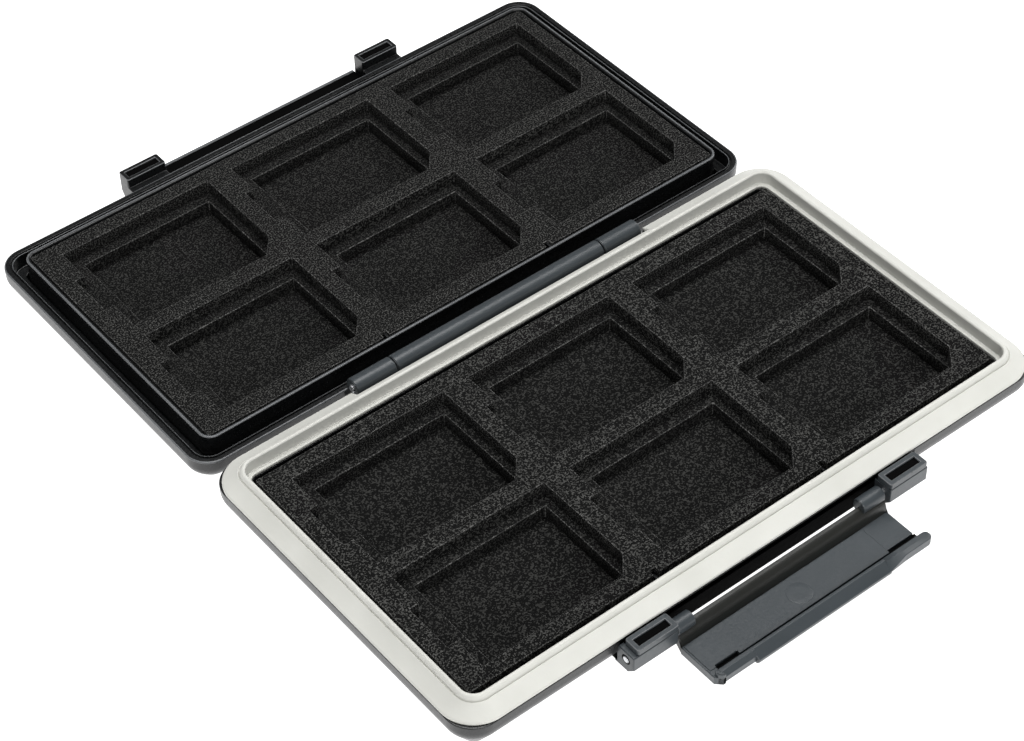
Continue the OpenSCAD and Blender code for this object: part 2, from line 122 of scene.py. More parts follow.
def addNode(tree, kind, values=None, **settings):
    made = tree.nodes.new(kind)
    for key, value in settings.items():
        setattr(made, key, value)
    for key, value in (values or {}).items():
        made.inputs[key].default_value = value
    return made


def newGroup(name, inputs, outputs):
    tree = bpy.data.node_groups.new(name, "ShaderNodeTree")
    for label, kind, value in inputs:
        socket = tree.interface.new_socket(label, in_out="INPUT", socket_type=kind)
        if value is not None:
            socket.default_value = value
    for label, kind in outputs:
        tree.interface.new_socket(label, in_out="OUTPUT", socket_type=kind)
    return tree, tree.nodes.new("NodeGroupInput"), tree.nodes.new("NodeGroupOutput")


def makeGrainGroup():  # noise of a given grain size, with its contrast raised about the middle
    tree, enter, leave = newGroup(
        "grain",
        [("Vector", "NodeSocketVector", None), ("Scale", "NodeSocketFloat", 1000.0),
         ("Detail", "NodeSocketFloat", 2.0), ("Low", "NodeSocketFloat", 0.35),
         ("High", "NodeSocketFloat", 0.65)],
        [("Mask", "NodeSocketFloat")])
    noise = addNode(tree, "ShaderNodeTexNoise")
    spread = addNode(tree, "ShaderNodeMapRange")
    tree.links.new(enter.outputs["Vector"], noise.inputs["Vector"])
    tree.links.new(enter.outputs["Scale"], noise.inputs["Scale"])
    tree.links.new(enter.outputs["Detail"], noise.inputs["Detail"])
    tree.links.new(noise.outputs["Fac"], spread.inputs["Value"])
    tree.links.new(enter.outputs["Low"], spread.inputs["From Min"])
    tree.links.new(enter.outputs["High"], spread.inputs["From Max"])
    tree.links.new(spread.outputs["Result"], leave.inputs["Mask"])
    return tree


grainGroup = makeGrainGroup()


def startMaterial(name, shader):
    material = bpy.data.materials.new(name)
    material.use_nodes = True
    tree = material.node_tree
    principled = tree.nodes["Principled BSDF"]
    for key, value in shader.items():
        principled.inputs[key].default_value = value
    place = addNode(tree, "ShaderNodeTexCoord")
    return material, tree, principled, place.outputs["Object"]


def grain(tree, place, scale, detail, low, high):
    node = addNode(tree, "ShaderNodeGroup", node_tree=grainGroup)
    for key, value in (("Scale", scale), ("Detail", detail), ("Low", low), ("High", high)):
        node.inputs[key].default_value = value
    tree.links.new(place, node.inputs["Vector"])
    return node.outputs["Mask"]


def between(tree, mask, first, second):  # colour that runs from first to second with the mask
    mix = addNode(tree, "ShaderNodeMix", data_type="RGBA")
    mix.inputs["A"].default_value = (*first, 1)
    mix.inputs["B"].default_value = (*second, 1)
    tree.links.new(mask, mix.inputs["Factor"])
    return mix.outputs["Result"]


def betweenValues(tree, mask, low, high):
    span = addNode(tree, "ShaderNodeMapRange", {"To Min": low, "To Max": high})
    tree.links.new(mask, span.inputs["Value"])
    return span.outputs["Result"]


def bump(tree, height, distance, strength):
    node = addNode(tree, "ShaderNodeBump", {"Distance": distance, "Strength": strength})
    tree.links.new(height, node.inputs["Height"])
    return node.outputs["Normal"]


def makePlastic(name, dark, light, rough, ior=1.5):
    material, tree, shader, place = startMaterial(name, {"IOR": ior})
    cloud = grain(tree, place, 60, 3, 0.3, 0.7)
    fine = grain(tree, place, 1800, 2, 0.3, 0.7)
    tree.links.new(between(tree, cloud, dark, light), shader.inputs["Base Color"])
    tree.links.new(betweenValues(tree, fine, rough - 0.05, rough + 0.05), shader.inputs["Roughness"])
    tree.links.new(bump(tree, fine, 0.00003, 0.25), shader.inputs["Normal"])
    return material


def makeRubber():
    material, tree, shader, place = startMaterial("sealRubber", {"IOR": 1.42, "Roughness": 0.45})
    cloud = grain(tree, place, 90, 3, 0.3, 0.7)
    fine = grain(tree, place, 1500, 2, 0.35, 0.65)
    tree.links.new(between(tree, cloud, (0.57, 0.57, 0.53), (0.63, 0.63, 0.59)), shader.inputs["Base Color"])
    tree.links.new(bump(tree, fine, 0.00003, 0.2), shader.inputs["Normal"])
    return material


def makeFoam(name, dark, light):
    material, tree, shader, place = startMaterial(name, {"IOR": 1.3, "Roughness": 0.95})
    cells = grain(tree, place, 3300, 0.3, 0.49, 0.6)
    coarse = grain(tree, place, 900, 2, 0.35, 0.65)
    both = addNode(tree, "ShaderNodeMath", operation="MULTIPLY")
    tree.links.new(cells, both.inputs[0])
    tree.links.new(betweenValues(tree, coarse, 0.55, 1.0), both.inputs[1])
    tree.links.new(between(tree, both.outputs[0], dark, light), shader.inputs["Base Color"])
    tree.links.new(bump(tree, cells, 0.0002, 0.8), shader.inputs["Normal"])
    return material


def makeSteel():
    material, tree, shader, place = startMaterial("pinSteel", {"Metallic": 1.0})
    fine = grain(tree, place, 1200, 2, 0.3, 0.7)
    tree.links.new(between(tree, fine, (0.55, 0.56, 0.58), (0.72, 0.73, 0.75)), shader.inputs["Base Color"])
    tree.links.new(betweenValues(tree, fine, 0.22, 0.34), shader.inputs["Roughness"])
    return material


def makePaper():
    material, tree, shader, place = startMaterial("tablePaper", {"Roughness": 0.9})
    cloud = grain(tree, place, 4, 2, 0.3, 0.7)
    tree.links.new(between(tree, cloud, (0.42, 0.42, 0.42), (0.44, 0.44, 0.44)), shader.inputs["Base Color"])
    shader.inputs["Emission Color"].default_value = (1, 1, 1, 1)
    shader.inputs["Emission Strength"].default_value = 1.15
    return material


casePlastic = makePlastic("casePlastic", (0.003, 0.0034, 0.0038), (0.005, 0.0056, 0.006), 0.3)
shadowPlastic = makePlastic("shadowPlastic", (0.001, 0.001, 0.001), (0.002, 0.002, 0.002), 0.7, 1.1)
# a lighter copy of the black case plastic, laid on chosen edges and flats as a painted highlight
edgeHighlightPlastic = makePlastic("edgeHighlightPlastic", (0.09, 0.095, 0.1), (0.13, 0.135, 0.14), 0.3)
# a darker copy of the latch plastic for the latch's root: painted shade
rootShadePlastic = makePlastic("rootShadePlastic", (0.012, 0.0125, 0.011), (0.016, 0.0165, 0.0145), 0.34)
latchPlastic = makePlastic("latchPlastic", (0.038, 0.045, 0.05), (0.046, 0.054, 0.06), 0.33)
sealRubber = makeRubber()
foamBlack = makeFoam("foamBlack", (0.001, 0.001, 0.001), (0.066, 0.066, 0.0625))
foamShade = makeFoam("foamShade", (0.0003, 0.0003, 0.0003), (0.036, 0.036, 0.034))
# a lighter copy of the foam for the bevelled cut edges: a painted highlight
foamEdgeHighlight = makeFoam("foamEdgeHighlight", (0.025, 0.025, 0.0245), (0.14, 0.139, 0.134))
pinSteel = makeSteel()
print("materials made")


# Mesh helpers. A shape is a numpy grid of points, and its faces are the grid's cells.

def rectangle(a0, b0, a1, b1):
    return [(a0, b0), (a1, b0), (a1, b1), (a0, b1)]


def mirrored(side, near, far):  # the stretch from near to far on that side of the middle, in rising order
    return sorted((side * near, side * far))


def pieceFrom(name, points, faces, material, body):
    mesh = bpy.data.meshes.new(name)
    mesh.from_pydata(points * mm, [], faces)
    mesh.update()
    if signedVolume(mesh) < 0:
        mesh.flip_normals()
    mesh.shade_smooth()
    mesh.materials.append(material)
    piece = bpy.data.objects.new(name, mesh)
    bpy.context.scene.collection.objects.link(piece)
    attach(piece, body)
    return piece


def signedVolume(mesh):  # sum over the triangles of a dot (b cross c), a sixth of which is the volume
    mesh.calc_loop_triangles()
    corners = np.empty(len(mesh.loop_triangles) * 3, np.int32)
    mesh.loop_triangles.foreach_get("vertices", corners)
    places = np.empty(len(mesh.vertices) * 3)
    mesh.vertices.foreach_get("co", places)
    a, b, c = places.reshape(-1, 3)[corners.reshape(-1, 3)].transpose(1, 0, 2)
    return np.einsum("ij,ij->", a, np.cross(b, c))


def gridFaces(rows, columns, wrapRows, wrapColumns):  # one quad between each pair of neighbours
    across = np.arange(rows if wrapRows else rows - 1)
    along = np.arange(columns if wrapColumns else columns - 1)
    r, c = np.meshgrid(across, along, indexing="ij")
    nextR = (r + 1) % rows
    nextC = (c + 1) % columns
    quads = np.stack([r * columns + c, nextR * columns + c, nextR * columns + nextC, r * columns + nextC], -1)
    return quads.reshape(-1, 4).tolist()


def softOutline(points, cuts, steps=5):
    # Each corner is cut back by its own distance and bridged by a quadratic curve:
    # (1-u)^2 times the point before it, 2u(1-u) times the corner, u^2 times the point after it
    corners = np.array(points, float)
    behind = np.roll(corners, 1, 0) - corners
    ahead = np.roll(corners, -1, 0) - corners
    lengthBehind = np.linalg.norm(behind, axis=1)
    lengthAhead = np.linalg.norm(ahead, axis=1)
    cut = np.minimum(np.broadcast_to(cuts, len(corners)), 0.48 * np.minimum(lengthBehind, lengthAhead))
    first = corners + behind / lengthBehind[:, None] * cut[:, None]
    last = corners + ahead / lengthAhead[:, None] * cut[:, None]
    u = np.linspace(0, 1, steps)[None, :, None]
    curve = (1 - u) ** 2 * first[:, None] + 2 * u * (1 - u) * corners[:, None] + u ** 2 * last[:, None]
    return curve.reshape(-1, 2)


def rectanglePath(length, width, corner, centreY, cornerSteps=14, sideStops=()):
    # A rounded rectangle as anchors, outward normals and mitres. A point that lies s inside the
    # edge is anchor + normal * (corner - s), and past the corner's radius it follows the mitre.
    turn = np.radians(np.arange(4)[:, None] * 90 + np.linspace(0, 90, cornerSteps + 1)[None, :])
    arcNormals = np.stack([np.cos(turn), np.sin(turn)], -1)
    signs = np.array([[1, 1], [-1, 1], [-1, -1], [1, -1]])
    anchors = signs * [length / 2 - corner, width / 2 - corner] + [0, centreY]
    arcAnchors = np.repeat(anchors[:, None], cornerSteps + 1, 1)
    arcMitres = np.repeat(signs[:, None], cornerSteps + 1, 1)
    stops = np.array(sorted(sideStops))[None, :, None]
    sideAnchors = anchors[:, None] + (np.roll(anchors, -1, 0) - anchors)[:, None] * stops
    sideNormals = np.repeat(arcNormals[:, -1:], stops.shape[1], 1)
    return (np.concatenate([arcAnchors, sideAnchors], 1).reshape(-1, 2),
            np.concatenate([arcNormals, sideNormals], 1).reshape(-1, 2),
            np.concatenate([arcMitres, sideNormals], 1).reshape(-1, 2))


def arcColumns(corners, steps, opened=False):  # face columns of the arcs at those corners of a section
    shift = 1 - steps if opened else 0
    return [corner * steps + shift + k for corner in corners for k in range(steps - 1)]


def sweepRing(name, section, path, corner, material, body, closed=True, notch=None, paintedHighlight=()):
    # The section, as distance in from the edge and height, is carried round the path. An open section has
    # its first and last loops closed by flat caps. Faces in the paintedHighlight columns take a lighter
    # material: a painted highlight.
    anchors, normals, mitres = path
    inset = np.repeat(section[None, :, 0], len(anchors), 0)
    if notch is not None:
        inset = np.maximum(inset, notch[:, None])
    flat = anchors[:, None] + normals[:, None] * np.maximum(corner - inset, 0)[..., None]
    flat = flat - mitres[:, None] * np.maximum(inset - corner, 0)[..., None]
    height = np.repeat(section[None, :, 1:], len(anchors), 0)
    points = np.concatenate([flat, height], -1)
    rows, columns = inset.shape
    faces = gridFaces(rows, columns, True, closed)
    if not closed:
        loop = np.arange(rows) * columns
        faces += [loop[::-1].tolist(), (loop + columns - 1).tolist()]
    piece = pieceFrom(name, points.reshape(-1, 3), faces, material, body)
    if paintedHighlight:
        piece.data.materials.append(edgeHighlightPlastic)
        across = np.arange(columns if closed else columns - 1)
        marks = np.isin(across, paintedHighlight).astype(np.int32)
        marks = np.concatenate([np.tile(marks, rows), np.zeros(len(faces) - rows * len(across), np.int32)])
        piece.data.polygons.foreach_set("material_index", marks)
    weightNormals(piece)
    return piece


def weightNormals(piece):
    modifier = piece.modifiers.new("weightedNormals", "WEIGHTED_NORMAL")
    modifier.weight = 90


def roundedOutline(corners, radii, steps=5):
    # Each corner becomes an arc that touches both of its edges: centre = corner - r * (n0 + n1) / (1 + n0.n1)
    # and point = centre + r * n, where n turns from the first edge's normal n0 to the second's n1.
    # At an inward corner r is negative.
    corners = np.array(corners, float)
    radii = np.broadcast_to(np.array(radii, float), len(corners))
    after = np.roll(corners, -1, 0)
    if np.sum(corners[:, 0] * after[:, 1] - after[:, 0] * corners[:, 1]) < 0:
        corners, radii = corners[::-1], radii[::-1]
        after = np.roll(corners, -1, 0)
    edge = after - corners
    edge /= np.linalg.norm(edge, axis=1)[:, None]
    last = np.column_stack([edge[:, 1], -edge[:, 0]])
    first = np.roll(last, 1, 0)
    lean = np.arctan2(first[:, 0] * last[:, 1] - first[:, 1] * last[:, 0], np.sum(first * last, 1))
    radius = radii * np.sign(lean)
    centre = corners - radius[:, None] * (first + last) / (1 + np.sum(first * last, 1))[:, None]
    angle = np.arctan2(first[:, 1], first[:, 0])[:, None] + lean[:, None] * np.linspace(0, 1, steps)[None, :]
    normals = np.stack([np.cos(angle), np.sin(angle)], -1)
    points = centre[:, None] + radius[:, None, None] * normals
    return points.reshape(-1, 2), normals.reshape(-1, 2)


def roundedBar(name, start, end, corners, radii, ends, material, body, along="x", steps=5):
    # The rounded outline is carried from start to end. Near both ends it draws in by a quarter circle:
    # e - sqrt(e^2 - (e - d)^2) at the distance d from the end, e being the size of the rounding.
    points, normals = roundedOutline(corners, radii, steps)
    turn = np.radians(np.linspace(0, 90, 5))
    inset = ends * (1 - np.sin(turn))
    depth = ends * (1 - np.cos(turn))
    stations = np.concatenate([start + depth, (end - depth)[::-1]])
    insets = np.concatenate([inset, inset[::-1]])
    flat = points[None] - normals[None] * insets[:, None, None]
    rows, count = flat.shape[:2]
    level = np.broadcast_to(stations[:, None, None], (rows, count, 1))
    solid = np.concatenate([level, flat] if along == "x" else [flat, level], -1)
    faces = gridFaces(rows, count, False, True)
    faces += [list(range(count))[::-1], list(range((rows - 1) * count, rows * count))]
    piece = pieceFrom(name, solid.reshape(-1, 3), faces, material, body)
    weightNormals(piece)
    return piece


def barAlong(name, x0, x1, corners, body, rounding=0.2, material=None):
    return roundedBar(name, x0, x1, corners, rounding * 1.05, rounding, material or casePlastic, body)


def turned(name, profile, y, z, material, body, steps=40):
    # The profile, as X and radius, is turned about a line along X, and both ends are capped
    profile = np.array(profile, float)
    turn = np.linspace(0, 2 * math.pi, steps, endpoint=False)
    x = np.repeat(profile[:, :1], steps, 1)
    points = np.stack([x, y + profile[:, 1:] * np.cos(turn), z + profile[:, 1:] * np.sin(turn)], -1)
    count = len(profile)
    faces = gridFaces(count, steps, False, True)
    faces += [list(range(steps))[::-1], list(range((count - 1) * steps, count * steps))]
    piece = pieceFrom(name, points.reshape(-1, 3), faces, material, body)
    weightNormals(piece)
    return piece


def softEnds(x0, x1, radius, soft=0.25):  # profile of a round bar with softened ends
    u = np.linspace(0, 1, 5)
    shrink = soft * (1 - np.sqrt(1 - (1 - u) ** 2))
    start = np.column_stack([x0 + soft * u, radius - shrink])
    end = np.column_stack([x1 - soft * u[::-1], radius - shrink[::-1]])
    return np.concatenate([start, end])


# Base

def basePath(corner):  # the base's outline, with stops where the hinge's notch begins and ends
    half = base["length"] / 2 - corner
    stops = [0.5 + side * (base["notchHalf"] + step) / (2 * half) for side in (-1, 1) for step in (0, 0.02)]
    return rectanglePath(base["length"], base["width"], corner, 0, 18, stops)


def hingeNotch(path):  # how far each point of the outline is drawn in to make room for the hinge
    anchors, normals, _ = path
    inBack = (normals[:, 1] > 0.999) & (np.abs(anchors[:, 0]) < base["notchHalf"] + 0.01)
    return np.where(inBack, base["notch"], 0.0)


def makeRibs(outline, body):
    for index, x in enumerate(ribs["places"]):
        barAlong(f"{body}Rib{index + 1}", x - ribs["half"], x + ribs["half"], outline, body, ribs["soft"])


def makeBaseTray():
    skin = {"low": base["edge"] - base["sealEdge"] - 2.7, "tuck": 4.0, "wall": 1.2, "floor": 1.5, "foot": 5.3}
    inner = {"from": 4.35, "to": 5.25, "low": 0.8, "top": 8.4, "soft": 0.2}
    rib = {"from": 4.8, "to": 7.5, "low": 1.4}
    path = basePath(base["corner"])
    section = openSection(
        [(skin["foot"], skin["floor"]), (skin["foot"] - 1, skin["floor"]), (skin["wall"] + 0.1, skin["low"]),
         (skin["wall"], base["shellTop"]), (0, base["shellTop"]), (0, skin["low"]), (skin["tuck"], 0),
         (skin["foot"], 0)],
        [0, 0.5, 0.5, 0.15, 0.22, 1.1, 1.3, 0])
    tray = sweepRing("baseTray", section, path, base["corner"], casePlastic, "base", False,
                     hingeNotch(path))
    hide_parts("base_shell")
    wall = softOutline(rectangle(inner["from"], inner["low"], inner["to"], inner["top"]), inner["soft"])
    innerPath = rectanglePath(base["length"], base["width"], base["sealCorner"], 0)
    sweepRing("baseInnerWall", wall, innerPath, base["sealCorner"], casePlastic, "base")
    front = base["front"]
    makeRibs(rectangle(front + rib["from"], rib["low"], front + rib["to"], inner["top"]), "base")


def openSection(corners, cuts, steps=6):  # as softOutline, with the first and last corners kept as they are
    curve = softOutline(corners, cuts, steps).reshape(len(corners), steps, 2)
    return np.concatenate([curve[:1, -1], curve[1:-1].reshape(-1, 2), curve[-1:, 0]])


def makeSeal():
    # Each corner is a distance in from the edge, a height above the edge's foot, and how far it is cut back
    rise = base["sealEdge"]
    flange = [(0, 0, 0.15), (0, rise, 0.3), (0.9, rise + 0.44, 0.4), (1.8, rise + 0.94, 0.4),
              (2.5, rise + 1.38, 0.3), (2.95, rise + 1.68, 0.08), (3.12, rise + 1.4, 0.06)]
    bead = [(3.28, rise + 2.0, 0.12), (3.6, rise + 2.5, 0.18), (4.05, rise + 2.6, 0.18),
            (4.3, rise + 2.35, 0.2)]
    ledge = [(4.3, rise - 0.1, 0.15), (5.15, rise - 0.1, 0.2), (5.15, rise - 0.8, 0.1),
             (4.25, rise - 0.8, 0.1)]
    root = [(4.25, -2.2, 0.1), (3.25, -2.2, 0.1), (3.25, 0, 0.2)]
    profile = np.array(flange + bead + ledge + root)
    section = softOutline(profile[:, :2], profile[:, 2]) + [0, base["edge"] - rise]
    path = basePath(base["sealCorner"])
    seal = sweepRing("sealFrame", section, path, base["sealCorner"], sealRubber, "base", True,
                     hingeNotch(path))
    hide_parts("base_seal")


def makeBaseLugs():
    lug = {"top": 9.0, "down": 5.9, "gap": 0.4, "out": 3.9, "slope": 1.5, "slotUp": 1.3, "slotDeep": 1.12,
           "slotWall": 0.92, "soft": 0.25, "earLeft": 0.95, "earRight": 0.2}
    groove = {"top": 0.9, "low": 1.6, "in": 0.15, "soft": 0.05}
    hole = {"radius": 1.0, "out": 0.02, "deep": 0.5}
    z = lug["top"]
    low = z - lug["down"]
    inside = base["front"] + 1
    face = base["front"] - lug["out"]
    near, far = lugs["from"], lugs["from"] + lugs["length"]
    ear = -far - lug["earLeft"]
    turned("latchPinHole", softEnds(ear - hole["out"], ear + hole["deep"], hole["radius"], 0.01), latch["y"],
           latch["z"], shadowPlastic, "base", 32)
    for side, word in ((-1, "Left"), (1, "Right")):
        x0, x1 = mirrored(side, near, far)
        line = rectangle(inside, z - groove["top"], face + groove["in"], z - groove["low"])
        barAlong(f"latchLugGroove{word}", x0 + groove["in"], x1 - groove["in"], line, "base", groove["soft"],
                 shadowPlastic)
        block = [(inside, z - lug["slotUp"]), (face, z - lug["slotUp"]), (face, low + lug["slope"]),
                 (face + lug["slope"], low), (inside, low)]
        barAlong(f"latchLug{word}", *mirrored(side, near + 0.05, far + lug[f"ear{word}"]), block, "base",
                 lug["soft"], latchPlastic)
        slotFrame(f"latchLugFrame{word}", (x0 + x1) / 2, (base["front"] - lug["gap"] + face) / 2,
                  lug["out"] - lug["gap"], z - lug["slotDeep"], z, lug["slotWall"], "base", latchPlastic)


def slotFrame(name, x, y, width, low, high, wall, body, material):
    # The slotted top of a lug: a ring whose top edges carry a painted highlight, with a floor painted near
    # black inside as the slot's shade
    slot = {"corner": 0.45, "floorIn": 0.5, "floorDown": 0.4, "floorSoft": 0.05}
    corner, inset = slot["corner"], slot["floorIn"]
    anchors, normals, mitres = rectanglePath(lugs["length"], width, corner, y, 5)
    section = softOutline([(0, low), (0, high), (wall, high), (wall, low)], [0.05, 0.14, 0.12, 0.05])
    fill = rectangle(y - width / 2 + inset, low, y + width / 2 - inset, high - slot["floorDown"])
    half = lugs["length"] / 2 - inset
    barAlong(name + "Floor", x - half, x + half, fill, body, slot["floorSoft"], shadowPlastic)
    sweepRing(name, section, (anchors + [x, 0], normals, mitres), corner, material, body,
              paintedHighlight=arcColumns((1, 2), 5))


def makeThickWalls():  # the upright walls behind the latch and behind the hinge
    latchWall = {"half": 34.0, "thick": 2.2, "low": base["edge"] - 5.9, "soft": 0.25}
    hingeWall = {"half": base["notchHalf"] + 1, "thick": 1.2, "low": base["shellTop"] - 4.1, "soft": 0.2}
    front = base["front"]
    rear = base["back"] - base["notch"]
    wall = rectangle(front, latchWall["low"], front + latchWall["thick"], base["shellTop"])
    barAlong("latchWall", -latchWall["half"], latchWall["half"], wall, "base", latchWall["soft"],
             shadowPlastic)
    wall = rectangle(rear - hingeWall["thick"], hingeWall["low"], rear, base["shellTop"])
    barAlong("hingeWall", -hingeWall["half"], hingeWall["half"], wall, "base", hingeWall["soft"])


def makeHinge():
    web = {"in": 0.6, "top": 0.45, "end": 0.1, "soft": 0.15, "lidTop": 0.3, "lidLow": 3}
    y, z, radius, half, middle = (hinge[key] for key in ("y", "z", "radius", "half", "middleHalf"))
    turned("middleKnuckle", softEnds(-middle, middle, radius), y, z, latchPlastic, "base", 48)
    rear = base["back"] - base["notch"] - web["in"]
    outline = [(rear, z - radius), (y, z - radius), (y - radius / 2, z), (y - radius + 0.1, z - web["top"]),
               (rear, z - web["top"])]
    barAlong("middleWeb", -middle + web["end"], middle - web["end"], outline, "base", web["soft"])
    inside, high = lid["front"] + web["in"], lid["rim"] - web["lidTop"]
    outline = [(y + 0.3, z - radius + 0.1), (inside, lid["rim"] - web["lidLow"]), (inside, high),
               (lid["front"], high), (y + radius - 0.1, z - radius / 2)]
    for side, word in ((-1, "Left"), (1, "Right")):
        x0, x1 = mirrored(side, middle + hinge["gap"], half)
        turned(f"endKnuckle{word}", softEnds(x0, x1, radius), y, z, latchPlastic, "lid", 48)
        barAlong(f"endWeb{word}", x0 + web["end"], x1 - web["end"], outline, "lid", web["soft"])
    pin = turned("hingePin", softEnds(-half - 0.3, half, hinge["pin"], 0.15), y, z, pinSteel, "base",
                 24)
    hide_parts("hinge_pin")


# Lid

def makeLid():
    skin = {"floor": 1.2, "foot": 4.9, "tuck": 3.2, "land": 1.7, "groove": (1.15, 1.45), "grooveDeep": 0.4,
            "channel": 3.9, "channelDeep": 3}
    inner = {"to": 4.7, "low": 0.8, "up": 1.8}
    rib = {"from": 4.3, "to": 5.9, "low": 1.1, "up": 1.7}
    rim, channel = lid["rim"], skin["channel"]
    channelFloor, grooveFloor = rim - skin["channelDeep"], rim - skin["grooveDeep"]
    outer, near = skin["groove"]
    section = openSection(
        [(skin["foot"], skin["floor"]), (channel, skin["floor"]), (channel, channelFloor),
         (skin["land"], channelFloor), (skin["land"], rim), (near, rim), (near, grooveFloor),
         (outer, grooveFloor), (outer, rim), (0, rim), (0, channelFloor), (skin["tuck"], 0),
         (skin["foot"], 0)],
        [0, 0.2, 0.3, 0.3, 0.2, 0.05, 0.08, 0.08, 0.12, 0.3, 1.2, 1.3, 0])
    path = rectanglePath(lid["length"], lid["width"], lid["corner"], lid["centre"], 18)
    tray = sweepRing("lidTray", section, path, lid["corner"], casePlastic, "lid", False,
                     paintedHighlight=arcColumns((4, 9), 6, True))  # the rim's two edges carry a painted highlight
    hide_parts("lid_shell")
    innerTop = rim + inner["up"]
    wall = softOutline([(channel, inner["low"]), (channel, innerTop), (inner["to"], innerTop),
                        (inner["to"], inner["low"])], [0.1, 0.22, 0.4, 0.1])
    innerPath = rectanglePath(lid["length"], lid["width"], lid["innerCorner"], lid["centre"], 12)
    sweepRing("lidInnerWall", wall, innerPath, lid["innerCorner"], casePlastic, "lid",
              paintedHighlight=[*arcColumns((1,), 5), 9])  # a painted highlight on its outer edge and the flat of its top
    front = lid["front"]
    makeRibs(rectangle(front + rib["from"], rib["low"], front + rib["to"], rim + rib["up"]), "lid")


def makeLidLugs():
    lug = {"from": 1.85, "to": 5.25, "low": 4.4, "up": 1.43, "slotDeep": 2.1, "slotWall": 0.85, "slope": 0.8,
           "slopeUp": 1.4, "soft": 0.2}
    near, far = lugs["from"] - 0.1, lugs["from"] - 0.1 + lugs["length"]
    rim, root = lid["rim"], lid["back"] - 1
    y0, y1 = lid["back"] + lug["from"], lid["back"] + lug["to"]
    low, top = rim - lug["low"], rim + lug["up"]
    blockTop, face = top - lug["slotDeep"] + 0.2, y1 - 0.1
    block = [(root, low), (face - lug["slope"], low), (face, low + lug["slopeUp"]), (face, blockTop),
             (y0 + 0.1, blockTop), (y0 + 0.1, rim - 0.6), (root, rim - 0.6)]
    for side, word in ((-1, "Left"), (1, "Right")):
        x0, x1 = mirrored(side, near, far)
        barAlong(f"lidLug{word}", x0 + 0.05, x1 - 0.05, block, "lid", lug["soft"])
        slotFrame(f"lidLugFrame{word}", (x0 + x1) / 2, (y0 + y1) / 2, y1 - y0, top - lug["slotDeep"], top,
                  lug["slotWall"], "lid", casePlastic)


def makeLidCatch():
    catch = {"half": 24.2, "down": 3.2, "out": 5.85, "soft": 0.1}
    edge = {"half": 24.1, "out": 5.9, "wide": 0.7, "low": 0.1, "soft": 0.04}
    low = lid["rim"] - catch["down"]
    root, tip = lid["back"] - 1, lid["back"] + catch["out"]
    outline = [(root, low + 0.7), (tip, low + 0.3), (tip, low - 0.45), (root, low - 0.9)]
    barAlong("lidCatch", -catch["half"], catch["half"], outline, "lid", catch["soft"], shadowPlastic)
    # A lighter strip along the catch's outer edge: a painted highlight
    tip = lid["back"] + edge["out"]
    outline = [(tip - edge["wide"], low + 0.42), (tip, low + 0.38), (tip, low + edge["low"]),
               (tip - edge["wide"], low + edge["low"])]
    barAlong("lidCatchEdge", -edge["half"], edge["half"], outline, "lid", edge["soft"], edgeHighlightPlastic)


# Latch

def roundedLoft(name, stations, radius, material, body):
    # Each station is an X and an outline, and all outlines have the same number of corners
    rows = []
    for x, corners in stations:
        points = roundedOutline(corners, radius)[0]
        rows.append(np.column_stack([np.full(len(points), x), points]))
    count = len(rows[0])
    faces = gridFaces(len(rows), count, False, True)
    faces += [list(range(count))[::-1], list(range((len(rows) - 1) * count, len(rows) * count))]
    piece = pieceFrom(name, np.concatenate(rows), faces, material, body)
    weightNormals(piece)


def latchBar(name, x0, x1, outline, rounding, material=latchPlastic):
    return barAlong(name, x0, x1, outline, "latch", rounding, material)


def latchPlate(name, low, high, outline, radius, rounding):  # an outline in plan, carried upwards
    roundedBar(name, low, high, outline, radius, rounding, latchPlastic, "latch", "z")


